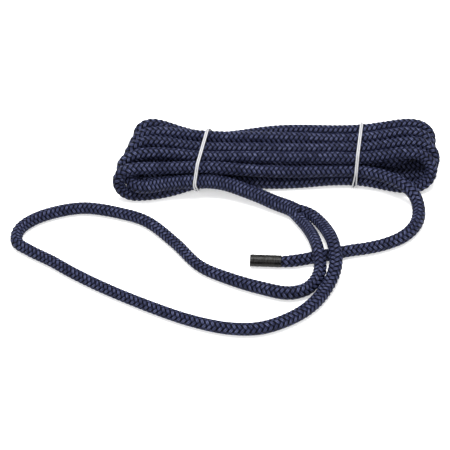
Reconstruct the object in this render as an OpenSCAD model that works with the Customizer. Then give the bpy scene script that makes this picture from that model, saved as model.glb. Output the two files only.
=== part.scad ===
// Coiled dock line: a double-braid mooring rope with a spliced eye at one end and a
// sleeved bitter end at the other. The spare length is wound into a hank of upright
// turns that lies on the floor and is held by two bands.
// +X runs along the hank, +Y to its back, +Z up. The origin is on the floor under the
// middle of the hank.

/* [Rope] */
// Diameter of the laid rope
rope_d = 12.7; // [12:0.1:13]
// Diameter of the braided core inside the cover
core_d = 8.4; // [7:0.1:10]
// Diameter of the spliced neck where it leaves the hank
neck_d = 15; // [14:0.5:16]
// Diameter of the spliced neck at the throat of the eye
throat_d = 17; // [16:0.5:18]

/* [Hank] */
// Height of the hank under the bands
waist_top = 40; // [38:0.5:42]
// Clear height that the bands leave under the hank's waists
waist_bottom = 2.6; // [2.4:0.1:4]
// How far the left waist comes forward, round the neck of the splice
left_front = 36.5; // [36:0.5:38]
// How far the left waist goes back
left_back = 33; // [32:0.5:34]
// How far the right waist comes forward and goes back
right_half = 30; // [29:0.5:31]

/* [Bands] */
// Width of a band, two cords side by side
band_w = 3.4; // [2:0.1:5]
// Thickness of a band
band_t = 1.7; // [1:0.1:1.9]
// Gap between a band and the hank
band_gap = 0.5; // [0.4:0.1:0.6]
// Place of the left band along the hank
left_band_x = -77; // [-80:1:-74]
// Place of the right band along the hank
right_band_x = 83; // [80:1:86]
// Lean of the left band towards the back
left_lean = 15; // [0:1:16]
// Lean of the right band towards the back
right_lean = 10; // [0:1:12]

/* [Bitter end] */
// Length of the sleeve on the bitter end
sleeve_len = 30; // [20:1:32]
// Outer diameter of the sleeve
sleeve_d = 12.6; // [12:0.1:13]
// Wall thickness of the sleeve
sleeve_wall = 0.7; // [0.5:0.1:1]

/* [Hidden] */

navy = [0.16, 0.17, 0.30];
core_white = [0.86, 0.86, 0.84];
sleeve_black = [0.10, 0.10, 0.10];
band_white = [0.93, 0.93, 0.92];

rope_r = rope_d / 2;
core_r = core_d / 2;
rest_z = rope_r + 0.05;   // height of the rope's middle where it lies on the floor
over_z = rest_z + 13.4;   // height of the rope's middle where it crosses another part of it
tube_sides = 12;
neck_rings = 8;
eye_rings = 46;
tail_rings = 22;
core_sides = 10;
bore_gap = 0.1;           // gap between the core and the cover around it
band_corner = 1;          // inner corner radius of a band
lobe_height = 60;         // more than the height of the tallest part of the hank

// The neck, from inside the hank to the throat of the eye.
neck_route = [[-62, -29, 17], [-52, -32, 16], [-40, -37, 14.5], [-29, -41, 12.5],
              [-19, -46, 11], [-5, -54, 9.5], [9, -62, 9], [18, -71, 9]];

// The eye, from the end of one leg at the throat, round the loop, to the end of the other.
eye_route = [[25, -98, 12.5], [28, -116, 18], [30, -130, over_z], [31, -142, 17],
             [30, -153, 12.5], [25, -162, 9], [17, -169, rest_z], [8, -173, rest_z],
             [-4, -174, rest_z], [-28, -166, rest_z], [-56, -153, rest_z],
             [-85, -134, rest_z], [-109, -100, rest_z], [-136, -69, rest_z],
             [-162, -56, rest_z], [-196, -47, rest_z], [-222, -50, rest_z],
             [-247, -61, rest_z], [-261, -76, rest_z], [-263, -91, rest_z],
             [-252, -103, rest_z], [-230, -119, rest_z], [-208, -137, rest_z],
             [-179, -158, rest_z], [-137, -184, rest_z], [-97, -205, rest_z],
             [-61, -217, rest_z], [-31, -218, rest_z], [0, -206, rest_z],
             [20, -190, rest_z], [34, -170, 7], [43, -154, 13], [46, -142, 17],
             [45, -128, over_z], [43, -115, 18], [39, -98, 12.5]];

// The tail, from inside the hank, over its front turn and down to the sleeve.
tail_route = [[100, -30, 21], [109, -35, 21], [118, -40, 20.5], [126, -47, 19],
              [132, -53, 16], [136, -60, 11.5], [137, -68, 7.5], [136, -76, rest_z],
              [133, -85, rest_z],
              [127, -95, rest_z], [118, -104, rest_z], [104, -112, rest_z], [84, -118, rest_z],
              [63, -121, rest_z], [40, -126, rest_z], [18, -130, rest_z], [6, -132, rest_z],
              [-6, -132, rest_z]];
tail_end = tail_route[len(tail_route) - 1];
sleeve_turn = 6;          // angle of the sleeve from -X towards +Y

// The hank seen from above.
plan = [[-169, -20], [-160, -38], [-135, -40], [-112, -38], [-94, -left_front],
        [-69, -left_front], [-58, -35], [-48, -31], [-20, -29], [20, -28], [44, -right_half],
        [92, -right_half], [114, -36], [138, -40], [158, -33], [170, -14], [168, 12],
        [160, 28], [138, 34], [112, 32], [94, right_half], [60, right_half], [20, 30],
        [-20, 31], [-48, left_back], [-76, left_back], [-102, 37], [-126, 43], [-144, 41],
        [-153, 20]];

// The hank seen from the front.
elevation = [[-170, 24], [-166, 8], [-150, 0], [-120, 0], [-102, 1], [-92, waist_bottom],
             [-48, waist_bottom], [-34, 0], [32, 0], [44, waist_bottom],
             [97, waist_bottom], [108, 1], [124, 0], [150, 0], [168, 10], [171, 26],
             [162, 42], [136, 46], [110, 43], [96, waist_top], [46, waist_top],
             [20, 43], [-20, 43], [-50, waist_top], [-90, waist_top], [-106, 44],
             [-128, 50], [-150, 48], [-164, 38]];

// One point of the smooth curve that runs through b and c, with a before them and d after.
function curve(a, b, c, d, t) =
    0.5 * (2 * b + (c - a) * t + (2 * a - 5 * b + 4 * c - d) * t * t
           + (3 * b - a - 3 * c + d) * t * t * t);

// A smooth closed outline through all the points of a list.
function smooth_loop(list, steps) =
    [for (i = [0:len(list) - 1]) for (k = [0:steps - 1])
        curve(list[(i + len(list) - 1) % len(list)], list[i], list[(i + 1) % len(list)],
              list[(i + 2) % len(list)], k / steps)];

// The points of a list, a share t of the way along the list's smooth curve.
function along(list, t) =
    let (last = len(list) - 1,
         i = min(floor(t * last), last - 1),
         before = i == 0 ? 2 * list[0] - list[1] : list[i - 1],
         after = i == last - 1 ? 2 * list[last] - list[last - 1] : list[i + 2])
    curve(before, list[i], list[i + 1], after, t * last - i);

function unit(v) = v / norm(v);

// One ring of a swept tube: its middle is a share t of the way along the route.
function ring(route, t, r, sides) =
    let (nudge = 0.001,
         ahead = unit(along(route, min(t + nudge, 1)) - along(route, max(t - nudge, 0))),
         side = unit(cross(ahead, [0, 0, 1])),
         up = cross(side, ahead))
    [for (k = [0:sides - 1])
        along(route, t) + r * (cos(360 * k / sides) * side + sin(360 * k / sides) * up)];

// The faces between ring a and ring b of a point list, each with the same number of sides.
function wall(a, b, sides) =
    [for (k = [0:sides - 1])
        let (m = (k + 1) % sides)
        for (f = [[a * sides + k, b * sides + k, b * sides + m],
                  [a * sides + k, b * sides + m, a * sides + m]]) f];

// A solid cord along a route, whose radius goes evenly from r_start to r_end.
module cord(route, r_start, r_end, rings, sides) {
    points = [for (i = [0:rings - 1])
        each ring(route, i / (rings - 1), r_start + (r_end - r_start) * i / (rings - 1), sides)];
    skin = [for (i = [0:rings - 2]) each wall(i, i + 1, sides)];
    start_cap = [[for (k = [0:sides - 1]) k]];
    end_cap = [[for (k = [sides - 1:-1:0]) (rings - 1) * sides + k]];
    polyhedron(concat(points), concat(start_cap, skin, end_cap), convexity = 10);
}

// A hollow cord along a route: the rings go up the outside and back down the inside.
module hollow_cord(route, r_out, r_in, rings, sides) {
    outside = [for (i = [0:rings - 1]) each ring(route, i / (rings - 1), r_out, sides)];
    inside = [for (i = [rings - 1:-1:0]) each ring(route, i / (rings - 1), r_in, sides)];
    count = 2 * rings;
    skin = [for (i = [0:count - 1]) each wall(i, (i + 1) % count, sides)];
    polyhedron(concat(outside, inside), skin, convexity = 10);
}

// A band: a loop with rounded corners round the hank's waist, leaning to the back at its top.
module band(x, lean, front, back) {
    lean_room = band_gap + band_w * sin(lean) / 2;
    near = (front + lean_room) / cos(lean);
    far = (back + lean_room) / cos(lean);
    low = waist_bottom - band_gap;
    high = waist_top + band_gap;
    translate([x, 0, 0])
        rotate([0, 0, -lean])
            translate([-band_w / 2, 0, 0])
                rotate([90, 0, 90])
                    linear_extrude(band_w)
                        difference() {
                            rounded_box(-near - band_t, far + band_t,
                                        low - band_t, high + band_t, band_corner + band_t);
                            rounded_box(-near, far, low, high, band_corner);
                        }
}

// A flat rectangle with rounded corners, from left to right and from low to high.
module rounded_box(left, right, low, high, corner) {
    translate([left + corner, low])
        square([right - left - 2 * corner, high - low]);
    translate([left, low + corner])
        square([right - left, high - low - 2 * corner]);
    for (across = [left + corner, right - corner])
        for (level = [low + corner, high - corner])
            translate([across, level])
                circle(corner, $fn = 32);
}

module hank_turns() {
    color(navy)
        intersection() {
            linear_extrude(lobe_height)
                polygon(smooth_loop(plan, 2));
            translate([0, lobe_height, 0])
                rotate([90, 0, 0])
                    linear_extrude(2 * lobe_height)
                        polygon(smooth_loop(elevation, 2));
        }
}

module splice_neck() {
    color(navy)
        cord(neck_route, neck_d / 2, throat_d / 2, neck_rings, tube_sides);
}

// The throat, where the two legs of the eye go into the neck.
module splice_throat() {
    neck_end = neck_route[len(neck_route) - 1];
    color(navy)
        hull() {
            translate(neck_end)
                sphere(throat_d / 2, $fn = 24);
            for (leg = [eye_route[0], eye_route[len(eye_route) - 1]])
                translate(leg)
                    sphere(rope_r, $fn = 24);
        }
}

module eye_cover() {
    color(navy)
        hollow_cord(eye_route, rope_r, core_r + bore_gap, eye_rings, tube_sides);
}

module eye_core() {
    color(core_white)
        cord(eye_route, core_r, core_r, eye_rings, core_sides);
}

module tail_cover() {
    color(navy)
        hollow_cord(tail_route, rope_r, core_r + bore_gap, tail_rings, tube_sides);
}

module tail_core() {
    color(core_white)
        cord(tail_route, core_r, core_r, tail_rings, core_sides);
}

// Places its children on the bitter end, with +Z along the rope towards the cut end.
module at_bitter_end() {
    translate(tail_end)
        rotate([0, 0, -sleeve_turn])
            rotate([0, -90, 0])
                children();
}

module end_sleeve() {
    color(sleeve_black)
        at_bitter_end()
            difference() {
                cylinder(h = sleeve_len, d = sleeve_d, $fn = 64);
                translate([0, 0, -1])
                    cylinder(h = sleeve_len + 2, d = sleeve_d - 2 * sleeve_wall, $fn = 64);
            }
}

// The rope's own end, squeezed inside the sleeve and fused where it was cut.
module end_plug() {
    color(navy)
        at_bitter_end()
            cylinder(h = sleeve_len, d = sleeve_d - 2 * sleeve_wall, $fn = 64);
}

module left_band() {
    color(band_white)
        band(left_band_x, left_lean, left_front, left_back);
}

module right_band() {
    color(band_white)
        band(right_band_x, right_lean, right_half, right_half);
}

hank_turns();
splice_neck();
splice_throat();
eye_cover();
eye_core();
tail_cover();
tail_core();
end_sleeve();
end_plug();
left_band();
right_band();
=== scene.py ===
"""Coiled dock line: a navy braided rope wound into a hank that two white bands hold, with a spliced eye and
a sleeved end. Routes and sizes are in millimetres, and a mesh is made in metres."""

import math

import bpy
import numpy as np
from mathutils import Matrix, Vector


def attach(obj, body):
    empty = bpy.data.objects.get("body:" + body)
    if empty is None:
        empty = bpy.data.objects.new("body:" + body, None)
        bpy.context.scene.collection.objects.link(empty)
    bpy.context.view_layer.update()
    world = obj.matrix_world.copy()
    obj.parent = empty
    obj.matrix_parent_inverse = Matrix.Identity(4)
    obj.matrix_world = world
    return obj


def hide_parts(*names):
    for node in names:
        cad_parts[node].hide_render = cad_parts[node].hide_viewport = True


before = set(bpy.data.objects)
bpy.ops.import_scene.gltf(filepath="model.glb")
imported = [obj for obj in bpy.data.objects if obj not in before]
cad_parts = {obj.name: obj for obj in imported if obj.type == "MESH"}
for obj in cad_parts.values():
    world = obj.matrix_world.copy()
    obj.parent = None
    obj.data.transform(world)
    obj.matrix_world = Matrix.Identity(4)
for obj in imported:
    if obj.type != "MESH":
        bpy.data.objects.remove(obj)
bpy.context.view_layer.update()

MM = 0.001

# ---------------------------------------------------------------- sizes of the rope

ROPE_R = 6.35
NECK_R = 7.5
THROAT_R = 8.3
# Height of a centreline that lies on the floor, and of one that crosses over another strand
CORE_REST = 6.4
CORE_OVER = CORE_REST + 13.4
# The swept mesh: the spacing of its rings, the points in a ring, and the depth and top of the braid on it
RING_STEP = 0.7
SIDES = 72
RELIEF = 1.1
RELIEF_TOP = 0.6 * RELIEF
# The braid: half of its strands lean each way, and each passes over two and under two
STRANDS_EACH_WAY = 8.0
REPEAT = 4.0
STITCH_LEAN = 0.4

# ---------------------------------------------------------------- routes, in millimetres

NECK_ROUTE = [
    (18, -70.5, 9.2), (9, -61.6, 9.2), (-5, -53.8, 9.7), (-19, -45.7, 11.3),
    (-29, -40.9, 12.6), (-40, -36.5, 14.6), (-52, -31.5, 16.6), (-62, -29, 17.8),
]
EYE_ROUTE = [
    (-7, -52.8, 10), (5, -60.5, 9.2), (13.4, -71, 9), (20.6, -84, 9.5),
    (25.2, -98, 12.5), (28.4, -116, 18), (30, -130, CORE_OVER), (31, -142, 17),
    (30, -153, 12.5), (25, -162, 9), (17, -169, CORE_REST), (8, -173, CORE_REST),
    (-4, -174, CORE_REST), (-28, -166, CORE_REST), (-56, -153, CORE_REST),
    (-85, -134, CORE_REST), (-109, -100, CORE_REST), (-136, -69, CORE_REST),
    (-162, -56, CORE_REST), (-196, -47, CORE_REST), (-222, -50, CORE_REST),
    (-248, -60.5, CORE_REST), (-262.5, -75, CORE_REST), (-264, -91, CORE_REST),
    (-252, -103, CORE_REST), (-230, -119, CORE_REST), (-208, -137, CORE_REST),
    (-179, -158, CORE_REST), (-137, -184, CORE_REST), (-97, -205, CORE_REST),
    (-61, -217, CORE_REST), (-31, -218, CORE_REST), (0, -206, CORE_REST),
    (20, -190.5, CORE_REST), (35, -170.5, 7), (44, -154.5, 13), (46.8, -142, 17),
    (46.3, -128, CORE_OVER), (44.8, -114, 18), (41.4, -96.2, 12.5),
    (37, -84, 9.8), (30, -73, 9.2), (19.2, -64.6, 9.2), (8, -58.8, 9.4), (-6, -52.3, 10.2),
]
TAIL_ROUTE = [
    (100, -30, 21), (109, -35, 21), (118, -40, 20.5), (126, -47, 19),
    (132.3, -53, 16), (136.2, -60, 11.5), (137.3, -68, 7.5), (136.3, -76, CORE_REST),
    (133.6, -85, CORE_REST), (127.4, -95.2, CORE_REST), (118.2, -104.4, CORE_REST),
    (104, -112, CORE_REST), (84, -118, CORE_REST), (63, -121, CORE_REST),
    (40, -126, CORE_REST), (18, -130, CORE_REST), (6, -132, CORE_REST),
    (-6, -132, CORE_REST),
]
IN_SLEEVE = (-27, -129.8, CORE_REST)

# The hank is wound in upright turns. Its stations along X, and how far the bands lean with Y
LEFT_LOBE, LEFT_TIE, MIDDLE, RIGHT_TIE, RIGHT_LOBE = -126, -77, 3, 83, 126
LEFT_LEAN, RIGHT_LEAN = 0.27, 0.17
# (y, z) of the neck where it goes in, then of each run at the left lobe, left band, middle, right band and
# right lobe, in the order of the rope
NECK_LOBE, NECK_TIE = (-30, 18.5), (-28.2, 19.2)
RUNS = [
    [(-5, 24), (-11.5, 19.3), (-8, 19.5), (-8.5, 19.8), (-9, 22)],
    [(27, 20), (1, 19.3), (4.5, 19.5), (4.5, 20.5), (15, 22)],
    [(36, 39.5), (30.5, 25), (25.2, 34.5), (23.7, 33.5), (23.5, 38)],
    [(8.5, 7), (19.5, 8.2), (18, 6.5), (16.6, 8), (11, 7)],
    [(22.5, 41), (21.3, 35), (13, 35.5), (10.7, 33), (10, 39)],
    [(-4.5, 7), (7, 8.2), (5.2, 6.5), (3.9, 8), (-4, 7)],
    [(9, 41), (8.3, 31.5), (2.5, 32.5), (-2, 31.5), (-4, 38)],
    [(-17.5, 7), (-6.5, 8.2), (-7.8, 6.5), (-9.2, 8), (-19, 7)],
    [(-5, 40), (-5, 31), (-9.5, 31), (-14.7, 30.2), (-16, 36)],
    [(-30.5, 6.4), (-18.8, 8.2), (-21.5, 6.4), (-22.7, 7.8), (-34.3, 6.4)],
    [(-23, 34), (-18.6, 29.8), (-21, 21.5), (-23, 20.6)],
]
# How far along X each fold between two runs reaches
LEFT_FOLDS = [-151.5, -140, -146, -150.4, -154.5, -161.8]
RIGHT_FOLDS = [134, 158, 156.2, 158.4, 154]
# Places from the left band, towards the middle, between which the hank is held off the floor, and how high.
# In front of HANK_FRONT there is no hank.
LIFT_PLACES = np.array([-22, -5, 14, 30])
LIFT_HEIGHTS = np.array([0, 1.8, 1.8, 0])
HANK_FRONT = -60
# Length of the tail from the last band to the bitter end, and how the eye lies from its route
TAIL_LENGTH = 260
EYE_FULLNESS, EYE_FORWARD = 1.02, 0.3
# Travel of the bands along X
LEFT_TRAVEL, RIGHT_TRAVEL = 12, -25

# How the strands settle: the spacing and rounds, and how fast a point is drawn home under a band, in the free
# neck and tail, and elsewhere in the hank
COARSE_STEP, SETTLE_ROUNDS = 5, 150
HOLD_AT_BAND, HOLD_OUTSIDE, HOLD_INSIDE = 0.25, 0.6, 0.01
BAND_REACH = 8
NECK_FREE, TAIL_FREE = 75, 300
NEAR_POINTS = 4
STIFFNESS = 0.35
SHARED_PUSH = 0.55
FLOOR_GAP = 0.05


# ---------------------------------------------------------------- camera

AIM = Vector((-57.4, -72.5, 0)) * MM
EYE_POINT = Vector((-133.9, -1484.6, 1414.2)) * MM

lens = bpy.data.cameras.new("camera")
lens.lens = 160
lens.sensor_width = 36
lens.clip_end = 20
camera = bpy.data.objects.new("camera", lens)
camera.location = EYE_POINT
camera.rotation_euler = (AIM - EYE_POINT).to_track_quat("-Z", "Y").to_euler()
bpy.context.scene.collection.objects.link(camera)
bpy.context.scene.camera = camera


# ---------------------------------------------------------------- the rope's centrelines


def evenly(line, step):
    """The same line with points an even distance apart."""
    gone = np.r_[0, np.cumsum(np.linalg.norm(np.diff(line, axis=0), axis=1))]
    where = np.linspace(0, gone[-1], max(2, round(gone[-1] / step)) + 1)
    return np.stack([np.interp(where, gone, line[:, k]) for k in range(3)], axis=1)


def smooth_curve(points, step):
    """A centripetal curve through the points."""
    through = np.array(points, float)
    through = np.vstack([2 * through[0] - through[1], through, 2 * through[-1] - through[-2]])
    pieces = []
    for k in range(1, len(through) - 2):
        p0, p1, p2, p3 = through[k - 1 : k + 3]
        t0 = 0
        t1 = t0 + math.sqrt(np.linalg.norm(p1 - p0))
        t2 = t1 + math.sqrt(np.linalg.norm(p2 - p1))
        t3 = t2 + math.sqrt(np.linalg.norm(p3 - p2))
        count = max(3, int(np.linalg.norm(p2 - p1) / min(step, 1)))
        t = np.linspace(t1, t2, count, endpoint=False)[:, None]
        a1 = (t1 - t) / (t1 - t0) * p0 + (t - t0) / (t1 - t0) * p1
        a2 = (t2 - t) / (t2 - t1) * p1 + (t - t1) / (t2 - t1) * p2
        a3 = (t3 - t) / (t3 - t2) * p2 + (t - t2) / (t3 - t2) * p3
        b1 = (t2 - t) / (t2 - t0) * a1 + (t - t0) / (t2 - t0) * a2
        b2 = (t3 - t) / (t3 - t1) * a2 + (t - t1) / (t3 - t1) * a3
        pieces.append((t2 - t) / (t2 - t1) * b1 + (t - t1) / (t2 - t1) * b2)
    pieces.append(through[-2][None])
    return evenly(np.vstack(pieces), step)


def profile(where, *stops):
    """A value that runs straight from one (place, value) stop to the next."""
    places, values = zip(*stops)
    return np.interp(where, places, values)


def fold(start, end, reach, side):
    """Points round the end of a turn, from one run to the next. side is -1 at the left and 1 at the right."""
    start, end = np.array(start, float), np.array(end, float)
    middle, half = (start + end) / 2, (end - start) / 2
    depth = np.hypot(*half) * 0.9
    points = []
    for k in range(1, 8):
        turn = math.pi * k / 8
        y, z = middle - half * math.cos(turn)
        points.append((reach - side * depth * (1 - math.sin(turn)), y, z))
    return points


def wound_route():
    """The whole route from the throat to the bitter end, before the strands settle on each other."""
    points = list(NECK_ROUTE)
    points.append((LEFT_TIE + LEFT_LEAN * NECK_TIE[0], *NECK_TIE))
    points.append((LEFT_LOBE, *NECK_LOBE))
    last = NECK_LOBE
    left, right = iter(LEFT_FOLDS), iter(RIGHT_FOLDS)
    for k, run in enumerate(RUNS):
        stations = [
            (LEFT_LOBE, *run[0]),
            (LEFT_TIE + LEFT_LEAN * run[1][0], *run[1]),
            (MIDDLE, *run[2]),
            (RIGHT_TIE + RIGHT_LEAN * run[3][0], *run[3]),
        ] + [(RIGHT_LOBE, *p) for p in run[4:]]
        if k % 2 == 0:
            points += fold(last, run[0], next(left), -1) + stations
            last = run[-1]
        else:
            points += fold(last, run[-1], next(right), 1) + stations[::-1]
            last = run[0]
    return points + TAIL_ROUTE + [IN_SLEEVE]


def band_lift(at):
    """How far the hank is held off the floor, so that a band can pass under it all along its travel. The
    right band travels the other way and twice as far."""
    left = np.interp(at[:, 0] - LEFT_LEAN * at[:, 1], LEFT_TIE + LIFT_PLACES, LIFT_HEIGHTS)
    places = (RIGHT_TIE - LIFT_PLACES * 2)[::-1]
    right = np.interp(at[:, 0] - RIGHT_LEAN * at[:, 1], places, LIFT_HEIGHTS[::-1])
    return np.where(at[:, 1] > HANK_FRONT, np.maximum(left, right), 0)


def settle(line, radius, hold, rounds):
    """Pushes strands that meet apart, rounds the bends and keeps the line's spacing. hold draws a point home,
    and each of its values is the share of the way that a round takes off."""
    at, home = line.copy(), line.copy()
    count = len(at)
    order = np.arange(count)
    spacing = np.linalg.norm(np.diff(line, axis=0), axis=1).mean()
    need = radius[:, None] + radius[None, :]
    apart = np.abs(order[:, None] - order[None, :]) > NEAR_POINTS
    for _ in range(rounds):
        at += (home - at) * hold[:, None]
        for _ in range(2):
            dent = np.zeros_like(at)
            dent[1:-1] = (at[:-2] + at[2:]) / 2 - at[1:-1]
            at[2:-2] += STIFFNESS * (dent[2:-2] - (dent[1:-3] + dent[3:-1]) / 2)
            gap = at[:, None, :] - at[None, :, :]
            reach = np.sqrt((gap**2).sum(2)) + 1e-6
            i, j = np.nonzero((reach < need) & apart)
            push = np.zeros_like(at)
            met = np.zeros(count)
            np.add.at(push, i, gap[i, j] * ((need - reach) / reach * 0.5)[i, j, None])
            np.add.at(met, i, 1)
            at += push / np.maximum(1, met * SHARED_PUSH)[:, None]
        for _ in range(4):
            for first in (0, 1):
                pairs = (count - first) // 2
                a = at[first : first + 2 * pairs : 2]
                b = at[first + 1 : first + 2 * pairs : 2]
                way = b - a
                far = np.linalg.norm(way, axis=1)[:, None]
                fix = way * 0.5 * (far - spacing) / far
                a += fix
                b -= fix
        at[:, 2] = np.maximum(at[:, 2], radius + FLOOR_GAP + band_lift(at))
    return at


def wound_line():
    """The rope from the throat to the bitter end: its centreline and its radius, in millimetres."""
    line = smooth_curve(wound_route(), COARSE_STEP)
    count = len(line)
    gone = np.linspace(0, 1, count) * np.linalg.norm(np.diff(line, axis=0), axis=1).sum()
    radius = profile(gone, (0, THROAT_R), (60, NECK_R), (240, NECK_R - 0.4), (300, ROPE_R))
    left = np.abs(line[:, 0] - LEFT_TIE - LEFT_LEAN * line[:, 1])
    right = np.abs(line[:, 0] - RIGHT_TIE - RIGHT_LEAN * line[:, 1])
    hold = np.where(np.minimum(left, right) < BAND_REACH, HOLD_AT_BAND, HOLD_INSIDE)
    hold[(gone < NECK_FREE) | (gone > gone[-1] - TAIL_FREE)] = HOLD_OUTSIDE
    line = settle(line, radius, hold, SETTLE_ROUNDS)
    return line, radius


def shares(line):
    """How far along the line each of its points is, from 0 to 1."""
    return np.linspace(0, 1, len(line))


coarse, coarse_r = wound_line()
rope_line = smooth_curve(coarse, RING_STEP)
rope_gone = shares(rope_line) * (len(rope_line) - 1) * RING_STEP
rope_left = rope_gone[-1] - rope_gone
strand_r = np.interp(shares(rope_line), shares(coarse), coarse_r)
# the rope as it is seen: fuller in the neck, and thinner where the tail lies free and goes into its sleeve
rope_r = strand_r * profile(rope_gone, (0, 1.02), (12, 1.02), (32, 1.01), (240, 1.0), (300, 1.02))
rope_r = rope_r * profile(
    rope_left, (0, 0.78), (20, 0.78), (24, 0.94), (34, 0.98), (80, 0.97),
    (130, 1.0), (150, 1.05), (190, 1.07), (TAIL_LENGTH, 1),
)
in_tail = rope_left < TAIL_LENGTH
rope_line[in_tail, 2] += (rope_r - strand_r)[in_tail]

eye_line = smooth_curve(EYE_ROUTE, RING_STEP)
# the two legs of the eye are fuller, and its ends draw in where they go into the throat
eye_r = EYE_FULLNESS * ROPE_R * profile(
    shares(eye_line),
    (0, 0.57), (0.015, 0.79), (0.035, 0.97), (0.1, 1.01), (0.16, 1.09), (0.2, 1.04),
    (0.26, 0.93), (0.35, 0.96), (0.46, 1.01), (0.51, 0.95), (0.62, 0.92), (0.7, 0.96),
    (0.76, 1.03), (0.83, 1.08), (0.9, 1.05), (0.965, 1.0), (0.985, 0.79), (1, 0.57),
)
eye_line[:, 1] -= eye_r - ROPE_R + EYE_FORWARD
eye_line[:, 2] += eye_r - ROPE_R

# how far one yarn goes along the rope in a full turn round it
rope_lead = profile(rope_gone, (0, 30.5), (200, 31), (320, 40.4), (420, 40.4))
rope_lead = rope_lead + profile(rope_left, (0, 1.6), (200, 1.6), (300, 0))
eye_lead = profile(shares(eye_line), (0, 34), (0.12, 38), (0.3, 37.5), (0.6, 38.5), (0.75, 41), (1, 36))
rope_phase = np.r_[0, np.cumsum(RING_STEP / rope_lead[:-1])]
eye_phase = np.r_[0, np.cumsum(RING_STEP / eye_lead[:-1])]


# ---------------------------------------------------------------- node helpers


class Nodes:
    """Adds nodes to a tree. An input is given by name or number, as a value or as another node's output."""

    def __init__(self, tree):
        self.tree = tree

    def add(self, kind, inputs=None, **settings):
        node = self.tree.nodes.new(kind)
        for name, value in settings.items():
            setattr(node, name, value)
        for key, value in (inputs or {}).items():
            if isinstance(value, bpy.types.NodeSocket):
                self.tree.links.new(value, node.inputs[key])
            else:
                node.inputs[key].default_value = value
        return node

    def math(self, operation, *values):
        return self.add("ShaderNodeMath", dict(enumerate(values)), operation=operation).outputs[0]

    def spread(self, value, low, high, to_low=0.0, to_high=1.0):
        sizes = {"Value": value, "From Min": low, "From Max": high, "To Min": to_low, "To Max": to_high}
        return self.add("ShaderNodeMapRange", sizes).outputs[0]


def braid(nodes, around, phase):
    """A two-over-two braid of 16 strands, two yarns in each. around goes from 0 to 1 round the rope, and
    phase goes up by 1 along a full turn of a strand. Returns the height of what shows, the place across and
    along its stitch, the height of its yarns and a number that is the stitch's own."""
    m = nodes.math
    family = []
    s_way = m("MULTIPLY", m("SUBTRACT", around, phase), STRANDS_EACH_WAY)
    z_way = m("MULTIPLY", m("ADD", around, phase), STRANDS_EACH_WAY)
    for own, other, top in ((s_way, z_way, 1.0), (z_way, s_way, 3.0)):
        met = m("ADD", m("FLOOR", own), other)
        along = m("SUBTRACT", m("FLOORED_MODULO", met, REPEAT), top)
        rise = m("COSINE", m("MULTIPLY", along, math.pi / 2))
        level = m("SUBTRACT", m("MULTIPLY", m("FRACT", own), 2.0), 1.0)
        across = m("SUBTRACT", level, m("MULTIPLY", along, STITCH_LEAN))
        flank = m("MAXIMUM", m("SUBTRACT", 1.0, m("MULTIPLY", across, across)), 0.0)
        height = m("ADD", m("MULTIPLY", rise, 0.5), m("MULTIPLY", flank, 0.8))
        order = m("FLOOR", m("DIVIDE", met, REPEAT))
        mark = m("ADD", m("ADD", m("MULTIPLY", m("FLOOR", own), 3.7), m("MULTIPLY", order, 11.3)), top)
        family.append((height, across, along, mark))
    shows = m("GREATER_THAN", family[0][0], family[1][0])
    across, along, mark = (
        m("ADD", m("MULTIPLY", shows, s), m("MULTIPLY", m("SUBTRACT", 1.0, shows), z))
        for s, z in list(zip(*family))[1:]
    )
    yarn = m("ABSOLUTE", m("SINE", m("MULTIPLY", across, math.pi)))
    return m("MAXIMUM", family[0][0], family[1][0]), across, along, yarn, mark


def braid_relief(nodes, around, phase):
    """How far the braid stands out, with the two yarns of each strand."""
    height, _, _, yarn, _ = braid(nodes, around, phase)
    return nodes.math("ADD", nodes.math("SUBTRACT", height, 0.85), nodes.math("MULTIPLY", yarn, 0.14))


def twist_relief(nodes, around, phase):
    """Three plies laid round each other."""
    m = nodes.math
    ply = m("FRACT", m("MULTIPLY", m("SUBTRACT", around, phase), 3.0))
    off = m("SUBTRACT", m("MULTIPLY", ply, 2.0), 1.0)
    return m("SUBTRACT", m("SQRT", m("SUBTRACT", 1.0, m("MULTIPLY", off, off))), 0.8)


# ---------------------------------------------------------------- swept cords, with Geometry Nodes


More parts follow.
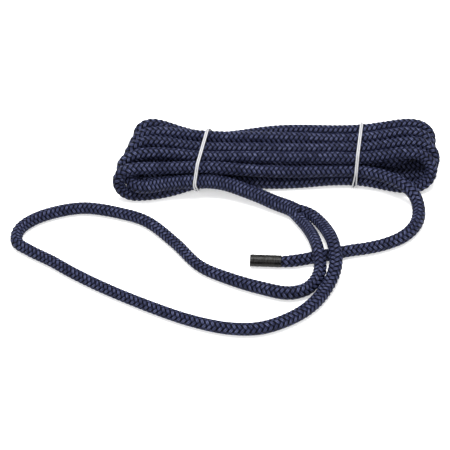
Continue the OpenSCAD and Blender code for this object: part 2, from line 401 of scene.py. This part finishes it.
def sweep_tree(name, relief):
    """Sweeps a round section along chains of points, raises a relief on it and stores each point's place
    round the section and along the chain."""
    tree = bpy.data.node_groups.new(name, "GeometryNodeTree")
    face = tree.interface
    face.new_socket("Line", in_out="INPUT", socket_type="NodeSocketGeometry")
    face.new_socket("Sides", in_out="INPUT", socket_type="NodeSocketInt")
    face.new_socket("Relief", in_out="INPUT", socket_type="NodeSocketFloat")
    face.new_socket("Material", in_out="INPUT", socket_type="NodeSocketMaterial")
    face.new_socket("Cord", in_out="OUTPUT", socket_type="NodeSocketGeometry")
    nodes = Nodes(tree)
    source = nodes.add("NodeGroupInput").outputs
    curve = nodes.add("GeometryNodeMeshToCurve", {"Mesh": source["Line"]}).outputs["Curve"]
    middle = nodes.add("GeometryNodeCaptureAttribute", {"Geometry": curve})
    middle.capture_items.new("VECTOR", "Middle")
    tree.links.new(nodes.add("GeometryNodeInputPosition").outputs[0], middle.inputs["Middle"])
    ring = nodes.add("GeometryNodeCurvePrimitiveCircle", {"Resolution": source["Sides"], "Radius": 1.0})
    turn = nodes.add("GeometryNodeCaptureAttribute", {"Geometry": ring.outputs["Curve"]})
    turn.capture_items.new("FLOAT", "Around")
    tree.links.new(nodes.add("GeometryNodeSplineParameter").outputs["Factor"], turn.inputs["Around"])
    size, phase = (
        nodes.add("GeometryNodeInputNamedAttribute", {"Name": label}, data_type="FLOAT").outputs["Attribute"]
        for label in ("size", "phase")
    )
    tube = nodes.add(
        "GeometryNodeCurveToMesh",
        {"Curve": middle.outputs["Geometry"], "Profile Curve": turn.outputs["Geometry"], "Scale": size},
    ).outputs["Mesh"]
    around = turn.outputs["Around"]
    place = nodes.add("GeometryNodeInputPosition").outputs[0]
    away = nodes.add("ShaderNodeVectorMath", {0: place, 1: middle.outputs["Middle"]}, operation="SUBTRACT")
    away = nodes.add("ShaderNodeVectorMath", {0: away.outputs[0]}, operation="NORMALIZE")
    lift = nodes.math("MULTIPLY", relief(nodes, around, phase), source["Relief"])
    raised = nodes.add("ShaderNodeVectorMath", {0: away.outputs[0], "Scale": lift}, operation="SCALE")
    tube = nodes.add("GeometryNodeSetPosition", {"Geometry": tube, "Offset": raised.outputs[0]}).outputs[0]
    turned = nodes.math("MULTIPLY", around, math.tau)
    lay = {0: nodes.math("COSINE", turned), 1: nodes.math("SINE", turned), 2: phase}
    tube = nodes.add(
        "GeometryNodeStoreNamedAttribute",
        {"Geometry": tube, "Name": "lay_place", "Value": nodes.add("ShaderNodeCombineXYZ", lay).outputs[0]},
        data_type="FLOAT_VECTOR",
        domain="POINT",
    ).outputs[0]
    tube = nodes.add("GeometryNodeSetShadeSmooth", {"Geometry": tube}).outputs[0]
    tube = nodes.add("GeometryNodeRealizeInstances", {"Geometry": tube}).outputs[0]
    tube = nodes.add("GeometryNodeSetMaterial", {"Geometry": tube, "Material": source["Material"]}).outputs[0]
    nodes.add("NodeGroupOutput", {"Cord": tube})
    return tree


def set_input(modifier, name, value):
    """Sets a Geometry Nodes input by its socket's identifier."""
    for item in modifier.node_group.interface.items_tree:
        if item.name == name and item.in_out == "INPUT":
            modifier[item.identifier] = value


def new_piece(name, mesh):
    """An object at the origin that shows a mesh."""
    piece = bpy.data.objects.new(name, mesh)
    bpy.context.scene.collection.objects.link(piece)
    return piece


def swept(name, tree, lines, sizes, phases, closed, inputs):
    """Runs a sweeping tree on chains of points in millimetres, and returns the plain mesh that it makes."""
    chains = bpy.data.meshes.new(name)
    edges, start = [], 0
    for line in lines:
        end = start + len(line)
        edges += [(k, k + 1) for k in range(start, end - 1)] + ([(end - 1, start)] if closed else [])
        start = end
    chains.from_pydata((np.vstack(lines) * MM).tolist(), edges, [])
    for label, values in (("size", np.hstack(sizes) * MM), ("phase", np.hstack(phases))):
        chains.attributes.new(label, "FLOAT", "POINT").data.foreach_set("value", values.astype(np.float32))
    source = new_piece(name, chains)
    modifier = source.modifiers.new("sweep", "NODES")
    modifier.node_group = tree
    for label, value in inputs.items():
        set_input(modifier, label, value)
    mesh = bpy.data.meshes.new_from_object(source.evaluated_get(bpy.context.evaluated_depsgraph_get()))
    source.modifiers.remove(modifier)
    bpy.data.objects.remove(source)
    return mesh


def tube_part(name, mesh, sides, first, last):
    """The rings from first to last of a swept mesh, closed at both ends, as a piece of its own."""
    total = len(mesh.vertices)
    places = np.empty(total * 3, np.float32)
    mesh.vertices.foreach_get("co", places)
    normals = np.empty(total * 3, np.float32)
    mesh.vertices.foreach_get("normal", normals)
    lay = np.empty(total * 3, np.float32)
    mesh.attributes["lay_place"].data.foreach_get("vector", lay)
    rows = slice(first * sides * 3, (last + 1) * sides * 3)
    places, normals, lay = (v[rows].reshape(-1, 3) for v in (places, normals, lay))
    rings = last - first + 1
    index = np.arange(rings * sides).reshape(rings, sides)
    after = np.roll(index, -1, axis=1)
    quads = np.stack([index[:-1], after[:-1], after[1:], index[1:]], axis=2).reshape(-1, 4)
    part = bpy.data.meshes.new(name)
    part.from_pydata(places.tolist(), [], quads.tolist() + [index[0][::-1].tolist(), index[-1].tolist()])
    part.attributes.new("lay_place", "FLOAT_VECTOR", "POINT").data.foreach_set("vector", lay.ravel())
    part.polygons.foreach_set("use_smooth", [True] * len(part.polygons))
    for material in mesh.materials:
        part.materials.append(material)
    part.update()
    if Vector(normals[0]).dot(part.vertices[0].normal) < 0:
        part.flip_normals()
    part.normals_split_custom_set_from_vertices(normals.tolist())
    return new_piece(name, part)


# ---------------------------------------------------------------- materials

# The part of a noise's range that most of its values lie in
NOISE = (0.3, 0.7)


def new_material(name):
    """An empty material with a Principled shader. Returns it, its nodes and the shader."""
    material = bpy.data.materials.new(name)
    material.use_nodes = True
    material.node_tree.nodes.clear()
    nodes = Nodes(material.node_tree)
    shader = nodes.add("ShaderNodeBsdfPrincipled")
    nodes.add("ShaderNodeOutputMaterial", {"Surface": shader.outputs["BSDF"]})
    return material, nodes, shader


def lay_place(nodes):
    """The place round a swept cord from 0 to 1, and its phase along it."""
    place = nodes.add("ShaderNodeAttribute", attribute_name="lay_place").outputs["Vector"]
    x, y, phase = nodes.add("ShaderNodeSeparateXYZ", {0: place}).outputs
    return nodes.math("DIVIDE", nodes.math("ARCTAN2", y, x), math.tau), phase


def colour_ramp(nodes, value, *stops):
    """A ramp through (position, colour) stops."""
    ramp = nodes.add("ShaderNodeValToRGB", {"Fac": value})
    marks = ramp.color_ramp.elements
    while len(marks) < len(stops):
        marks.new(0.5)
    for mark, (position, colour) in zip(marks, stops):
        mark.position = position
        mark.color = (*colour, 1)
    return ramp.outputs["Color"]


def braided_polyester():
    """Navy filament yarn with two yarns of fine filaments in each stitch, and painted light: painted shade in
    the gaps between stitches and between the two yarns, and a greyer painted sheen on the crowns.
    """
    material, nodes, shader = new_material("navy_braid")
    m = nodes.math
    around, phase = lay_place(nodes)
    height, across, along, yarn, mark = braid(nodes, around, phase)
    where = nodes.add("ShaderNodeTexCoord").outputs["Object"]
    thread = nodes.add(
        "ShaderNodeCombineXYZ", {0: m("MULTIPLY", across, 7.0), 1: m("MULTIPLY", along, 0.8), 2: mark}
    ).outputs[0]
    filament = nodes.add("ShaderNodeTexNoise", {"Vector": thread, "Scale": 1.0, "Detail": 2.0}).outputs["Fac"]
    grain = nodes.add("ShaderNodeTexNoise", {"Vector": where, "Scale": 900.0, "Detail": 2.0}).outputs["Fac"]
    patch = nodes.add("ShaderNodeTexNoise", {"Vector": where, "Scale": 70.0, "Detail": 2.0}).outputs["Fac"]
    own = nodes.add("ShaderNodeTexWhiteNoise", {"W": mark}, noise_dimensions="1D").outputs["Value"]
    # painted shade: the colour falls from each stitch's crown into the gaps between stitches, and the ramp's
    # greyer top is a painted sheen on the crowns
    painted_gap_shade = m("POWER", nodes.spread(height, 0.45, 1.2), 1.3)
    # painted shade along the groove between the two yarns of a stitch and at its edges
    painted_yarn_groove_shade = m("ADD", m("MULTIPLY", yarn, 0.8), 0.25)
    fine = m("MULTIPLY", nodes.spread(filament, *NOISE, 0.6, 1.15), nodes.spread(grain, *NOISE, 0.75, 1.1))
    broad = m("ADD", nodes.spread(own, 0.0, 1.0, 0.78, 1.1), nodes.spread(patch, *NOISE, -0.1, 0.1))
    light = m("MULTIPLY", fine, broad)
    shade = m("MULTIPLY", m("MULTIPLY", painted_gap_shade, painted_yarn_groove_shade), light)
    colour = colour_ramp(
        nodes, shade, (0.0, (0.0003, 0.0004, 0.0014)), (0.25, (0.005, 0.006, 0.0165)),
        (0.55, (0.0215, 0.0255, 0.058)), (1.0, (0.09, 0.1, 0.175)),
    )
    nodes.tree.links.new(colour, shader.inputs["Base Color"])
    bump_height = m("ADD", m("MULTIPLY", yarn, 0.6), m("MULTIPLY", filament, 0.5))
    bump = nodes.add("ShaderNodeBump", {"Height": bump_height, "Strength": 0.8, "Distance": 0.0004})
    nodes.tree.links.new(bump.outputs[0], shader.inputs["Normal"])
    nodes.tree.links.new(nodes.spread(grain, *NOISE, 0.4, 0.65), shader.inputs["Roughness"])
    shader.inputs["Specular IOR Level"].default_value = 0.05
    return material


def white_twine():
    """Off-white spun twine, with fine hairs, and painted shade that darkens it between its plies."""
    material, nodes, shader = new_material("white_twine")
    m = nodes.math
    around, phase = lay_place(nodes)
    ply = m("FRACT", m("MULTIPLY", m("SUBTRACT", around, phase), 3.0))
    # painted shade: the twine is darker between its plies
    painted_gap_shade = m("SINE", m("MULTIPLY", ply, math.pi))
    where = nodes.add("ShaderNodeTexCoord").outputs["Object"]
    grain = nodes.add("ShaderNodeTexNoise", {"Vector": where, "Scale": 1500.0, "Detail": 2.0}).outputs["Fac"]
    shade = m("MULTIPLY", m("ADD", m("MULTIPLY", painted_gap_shade, 0.5), 0.5), nodes.spread(grain, *NOISE, 0.75, 1.0))
    colour = colour_ramp(
        nodes, shade, (0.3, (0.07, 0.07, 0.09)), (0.65, (0.28, 0.28, 0.3)), (1.0, (0.5, 0.5, 0.49))
    )
    nodes.tree.links.new(colour, shader.inputs["Base Color"])
    bump = nodes.add("ShaderNodeBump", {"Height": grain, "Strength": 0.5, "Distance": 0.0002})
    nodes.tree.links.new(bump.outputs[0], shader.inputs["Normal"])
    shader.inputs["Roughness"].default_value = 0.75
    return material


def black_shrink_tube():
    """Black polyolefin, half gloss, with scuffs and a fine crinkle."""
    material, nodes, shader = new_material("black_shrink_tube")
    where = nodes.add("ShaderNodeTexCoord").outputs["Object"]
    crinkle = nodes.add("ShaderNodeTexNoise", {"Vector": where, "Scale": 420.0, "Detail": 3.0}).outputs["Fac"]
    scuff = nodes.add("ShaderNodeTexNoise", {"Vector": where, "Scale": 160.0, "Detail": 4.0}).outputs["Fac"]
    colour = colour_ramp(nodes, scuff, (0.35, (0.0012, 0.0012, 0.0011)), (0.7, (0.006, 0.0056, 0.0045)))
    nodes.tree.links.new(colour, shader.inputs["Base Color"])
    nodes.tree.links.new(nodes.spread(scuff, *NOISE, 0.25, 0.45), shader.inputs["Roughness"])
    bump = nodes.add("ShaderNodeBump", {"Height": crinkle, "Strength": 0.6, "Distance": 0.0005})
    nodes.tree.links.new(bump.outputs[0], shader.inputs["Normal"])
    shader.inputs["Specular IOR Level"].default_value = 0.15
    return material


def melted_polyester():
    """The rope's own yarn, melted into a dark hard face."""
    material, nodes, shader = new_material("melted_end")
    where = nodes.add("ShaderNodeTexCoord").outputs["Object"]
    blotch = nodes.add("ShaderNodeTexNoise", {"Vector": where, "Scale": 500.0, "Detail": 3.0}).outputs["Fac"]
    colour = colour_ramp(nodes, blotch, (0.35, (0.004, 0.004, 0.008)), (0.7, (0.02, 0.02, 0.04)))
    nodes.tree.links.new(colour, shader.inputs["Base Color"])
    nodes.tree.links.new(nodes.spread(blotch, *NOISE, 0.2, 0.5), shader.inputs["Roughness"])
    bump = nodes.add("ShaderNodeBump", {"Height": blotch, "Strength": 0.8, "Distance": 0.0006})
    nodes.tree.links.new(bump.outputs[0], shader.inputs["Normal"])
    return material


navy = braided_polyester()
cover_tree = sweep_tree("braided_cover", braid_relief)
cover_inputs = {"Sides": SIDES, "Relief": RELIEF * MM, "Material": navy}
rope_size, eye_size = rope_r - RELIEF_TOP, eye_r - RELIEF_TOP
rope_mesh = swept("rope_run", cover_tree, [rope_line], [rope_size], [rope_phase], False, cover_inputs)
eye_mesh = swept("eye_run", cover_tree, [eye_line], [eye_size], [eye_phase], False, cover_inputs)


def crossings(line, x_at, lean):
    """The rings at which a line crosses a leaning plane, in the order of the rope."""
    side = line[:, 0] - x_at - lean * line[:, 1]
    return [int(k) for k in np.nonzero(side[:-1] * side[1:] < 0)[0]]


left_cuts = crossings(rope_line, LEFT_TIE, LEFT_LEAN)
tail_start = int(np.argmin(np.linalg.norm(rope_line - np.array(TAIL_ROUTE[0]), axis=1)))
# neck to the first left crossing, then one turn between every second crossing
cuts = [0] + left_cuts[0::2] + [tail_start, len(rope_line) - 1]
names = ["rope_neck"] + [f"hank_turn_{k + 1}" for k in range(len(cuts) - 3)] + ["rope_tail"]
rope_pieces = []
for name, first, last in zip(names, cuts, cuts[1:]):
    piece = tube_part(name, rope_mesh, SIDES, first, last)
    rope_pieces.append((piece, rope_line[first : last + 1] * MM))
eye_piece = tube_part("rope_eye", eye_mesh, SIDES, 0, len(eye_line) - 1)


def declare_rope(piece, path, diameter, far_end, lay, replaced):
    """Attaches a stretch of the rope to the line and hides the parts that it replaces. path, its centreline
    in metres, is not used.
    """
    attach(piece, "line")
    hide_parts(*replaced)


for piece, path in rope_pieces:
    if piece.name == "rope_neck":
        facts = (0.0148, "object", "loose", ("splice_neck", "splice_throat"))
    elif piece.name == "rope_tail":
        facts = (0.0127, "bare", "loose", ("tail_cover", "tail_core"))
    else:
        facts = (0.0127, "object", "coiled", ("hank_turns",))
    declare_rope(piece, path, *facts)
declare_rope(eye_piece, eye_line * MM, 0.0127, "object", "loose", ("eye_cover", "eye_core"))


# ---------------------------------------------------------------- sleeve and fused end

SLEEVE_LENGTH = 30
SLEEVE_R = 5.95
SLEEVE_WALL = 0.6
SLEEVE_SIDES = 72
TAIL_END = np.array(TAIL_ROUTE[-1], float)
SLEEVE_ANGLE = math.radians(6)
SLEEVE_AXIS = np.array([-math.cos(SLEEVE_ANGLE), math.sin(SLEEVE_ANGLE), 0])
STITCH_PITCH = 5.5


def turned(name, start, axis, rows, ripple):
    """A surface turned round an axis, closed at both ends. rows are (distance along, radius), and ripple
    gives how far a point stands out."""
    side = np.cross(axis, (0, 0, 1))
    side /= np.linalg.norm(side)
    up = np.cross(side, axis)
    angle = np.arange(SLEEVE_SIDES) * math.tau / SLEEVE_SIDES
    ring = np.cos(angle)[:, None] * side + np.sin(angle)[:, None] * up
    points = [
        start + axis * gone + ring * (radius + ripple(angle, gone, radius))[:, None] for gone, radius in rows
    ]
    index = np.arange(len(rows) * SLEEVE_SIDES).reshape(len(rows), SLEEVE_SIDES)
    after = np.roll(index, -1, axis=1)
    quads = np.stack([index[:-1], index[1:], after[1:], after[:-1]], axis=2).reshape(-1, 4).tolist()
    mesh = bpy.data.meshes.new(name)
    ends = [index[0].tolist(), index[-1][::-1].tolist()]
    mesh.from_pydata((np.vstack(points) * MM).tolist(), [], quads + ends)
    mesh.polygons.foreach_set("use_smooth", [True] * len(mesh.polygons))
    return new_piece(name, mesh)


def sleeve_ripple(angle, gone, radius):
    """The stitches that press through the sleeve, and the puckers of its shrinking."""
    way = math.tau * gone / STITCH_PITCH
    stitches = np.sin(STRANDS_EACH_WAY * angle - way) * np.sin(STRANDS_EACH_WAY * angle + way)
    pucker = 0.6 * np.sin(3 * angle + 0.9 * gone) + 0.4 * np.sin(5 * angle - 1.7 * gone + 1)
    return 0.16 * stitches + 0.09 * pucker


def melt_ripple(angle, gone, radius):
    """The uneven edge of the melted rope."""
    return 0.03 * radius * (np.sin(5 * angle + 0.7) + 0.6 * np.sin(9 * angle + 2))


inner_r = SLEEVE_R - SLEEVE_WALL
sleeve_rows = [(-0.5, inner_r), (-0.7, SLEEVE_R - 0.35), (-0.5, SLEEVE_R)]
sleeve_rows += [(gone, SLEEVE_R) for gone in np.arange(0, SLEEVE_LENGTH + 0.1, 0.5)]
sleeve_rows += [(SLEEVE_LENGTH + 0.15, SLEEVE_R - 0.2), (SLEEVE_LENGTH + 0.1, inner_r + 0.15)]
sleeve_rows += [(gone, inner_r) for gone in (SLEEVE_LENGTH - 0.2, SLEEVE_LENGTH - 1.5, SLEEVE_LENGTH - 4)]
sleeve = turned("end_sleeve_skin", TAIL_END, SLEEVE_AXIS, sleeve_rows, sleeve_ripple)
sleeve.data.materials.append(black_shrink_tube())
end_rows = [
    (SLEEVE_LENGTH - 5, inner_r - 0.4), (SLEEVE_LENGTH - 1.2, inner_r - 0.1),
    (SLEEVE_LENGTH - 0.8, inner_r - 0.5), (SLEEVE_LENGTH - 0.6, inner_r - 1.5),
    (SLEEVE_LENGTH - 0.75, 2.4), (SLEEVE_LENGTH - 0.5, 1.0),
]
fused = turned("fused_rope_end", TAIL_END, SLEEVE_AXIS, end_rows, melt_ripple)
fused.data.materials.append(melted_polyester())
for piece, node, slot in ((sleeve, "end_sleeve", "sleeve"), (fused, "end_plug", "fused_end")):
    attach(piece, "line")
    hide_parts(node)


# ---------------------------------------------------------------- the two bands

TWINE_R = 0.8
TWINE_LAY = 3.4
TWINE_STEP = 0.5
TWINE_SIDES = 16
TWINE_RELIEF = 0.3
TWINE_CORE = TWINE_R - 0.05
# Half the spacing of a band's two strands, its room round the rope and its height off the floor
HALF_SPACING = TWINE_R * 1.08
BAND_ROOM = 0.25
BAND_REST = TWINE_R + 0.1
# Shares of a band's travel at which it has to clear the rope, with a margin past both ends
STATIONS = np.linspace(-0.15, 1.25, 15)
OUTLINE_SIDES = 48
# The stretch of the wound line that a band goes round, without the neck's start and the tail
HANK_START, HANK_END = 60, 257
# Where a band's foot begins above the floor, and over what height and depth it grows
FOOT_TOP, FOOT_HEIGHT, FOOT_DEPTH = 22, 20, 10


def hull(points):
    """The convex outline of points in a plane, in order."""
    points = sorted(map(tuple, points))
    outline = []
    for way in (points, points[::-1]):
        part = []
        for p in way:
            while len(part) > 1 and np.cross(np.subtract(part[-1], part[-2]), np.subtract(p, part[-2])) <= 0:
                part.pop()
            part.append(p)
        outline += part[:-1]
    return np.array(outline)


def strands_at(x_at, lean):
    """(y, z, radius) of each strand of the wound line where it crosses a leaning plane."""
    found = []
    for k in crossings(rope_line, x_at, lean):
        if HANK_START < rope_gone[k] < rope_gone[-1] - HANK_END:
            found.append((rope_line[k, 1], rope_line[k, 2], rope_r[k]))
    return found


def band_path(x_at, lean, travel, foot):
    """The way of a tight band round the strands, with room to slide along them by travel. foot moves its low
    front part along the rope. Also returns how far each point belongs to that part, from 0 to 1."""
    angle = np.arange(0, math.tau, math.tau / OUTLINE_SIDES)
    ring = np.stack([np.cos(angle), np.sin(angle)], axis=1)
    round_strands = []
    for share in STATIONS:
        for y, z, radius in strands_at(x_at + travel * share, lean):
            round_strands += list(np.array([y, z]) + ring * (radius + TWINE_R + BAND_ROOM))
    outline = hull(round_strands)
    outline = np.vstack([outline, outline[:1]])
    outline[:, 1] = np.maximum(outline[:, 1], BAND_REST)
    flat = np.stack([outline[:, 0] * 0, outline[:, 0], outline[:, 1]], axis=1)
    flat = evenly(flat, TWINE_STEP)[:-1]
    for _ in range(3):
        flat = (np.roll(flat, 1, axis=0) + 2 * flat + np.roll(flat, -1, axis=0)) / 4
    low = np.clip((FOOT_TOP - flat[:, 2]) / FOOT_HEIGHT, 0, 1)
    low_front = low * np.clip(1 - (flat[:, 1] - flat[:, 1].min()) / FOOT_DEPTH, 0, 1)
    flat[:, 0] = x_at + lean * flat[:, 1] + foot * low_front
    return flat, low_front


def twine_band(name, body, node, x_at, lean, travel, foot, parting):
    """A doubled twine round the hank. Its two strands part by parting where it comes down at the front."""
    path, low_front = band_path(x_at, lean, travel, foot)
    lines = []
    for side in (-1, 1):
        line = path.copy()
        line[:, 0] += side * (HALF_SPACING + parting * low_front)
        lines.append(line)
    turns = round(len(path) * TWINE_STEP / TWINE_LAY)
    phases = [np.arange(len(path)) * turns / len(path)] * 2
    sizes = [np.full(len(path), TWINE_CORE)] * 2
    inputs = {"Sides": TWINE_SIDES, "Relief": TWINE_RELIEF * MM, "Material": twine}
    mesh = swept(name, twine_tree, lines, sizes, phases, True, inputs)
    piece = new_piece(name, mesh)
    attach(piece, body)
    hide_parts(node)


twine = white_twine()
twine_tree = sweep_tree("twisted_twine", twist_relief)
left_place, right_place = LEFT_TIE + 0.6, RIGHT_TIE + 0.1
twine_band("left_twine", "band_left", "left_band", left_place, LEFT_LEAN, LEFT_TRAVEL, 6, 1.6)
twine_band("right_twine", "band_right", "right_band", right_place, RIGHT_LEAN + 0.02, RIGHT_TRAVEL, -1.3, 1.3)


# ---------------------------------------------------------------- floor and light

floor_mesh = bpy.data.meshes.new("floor")
floor_mesh.from_pydata([(-3, -3, 0), (3, -3, 0), (3, 3, 0), (-3, 3, 0)], [], [(0, 1, 2, 3)])
floor = bpy.data.objects.new("floor", floor_mesh)
bpy.context.scene.collection.objects.link(floor)
paint, paint_nodes, paint_shader = new_material("pale_floor")
paint_shader.inputs["Base Color"].default_value = (0.8, 0.8, 0.8, 1)
paint_shader.inputs["Roughness"].default_value = 0.9
paint_shader.inputs["Emission Color"].default_value = (1, 1, 1, 1)
paint_shader.inputs["Emission Strength"].default_value = 0.35
floor_mesh.materials.append(paint)

world = bpy.data.worlds.new("studio")
bpy.context.scene.world = world
world.use_nodes = True
world.node_tree.nodes["Background"].inputs["Color"].default_value = (1, 1, 1, 1)
world.node_tree.nodes["Background"].inputs["Strength"].default_value = 1.0


def soft_box(name, place, aim, size, power):
    """A round soft light at a place, turned to its aim, in metres and watts."""
    light = bpy.data.lights.new(name, "AREA")
    light.shape = "DISK"
    light.size = size
    light.energy = power
    lamp = bpy.data.objects.new(name, light)
    lamp.location = place
    lamp.rotation_euler = (Vector(aim) - Vector(place)).to_track_quat("-Z", "Y").to_euler()
    bpy.context.scene.collection.objects.link(lamp)


soft_box("key", (-0.1, 0.1, 1.7), (-0.05, -0.08, 0), 1.1, 54)
soft_box("fill", (-0.4, -1.5, 1.3), (-0.05, -0.08, 0), 1.0, 12)
bpy.context.scene.view_settings.view_transform = "Standard"
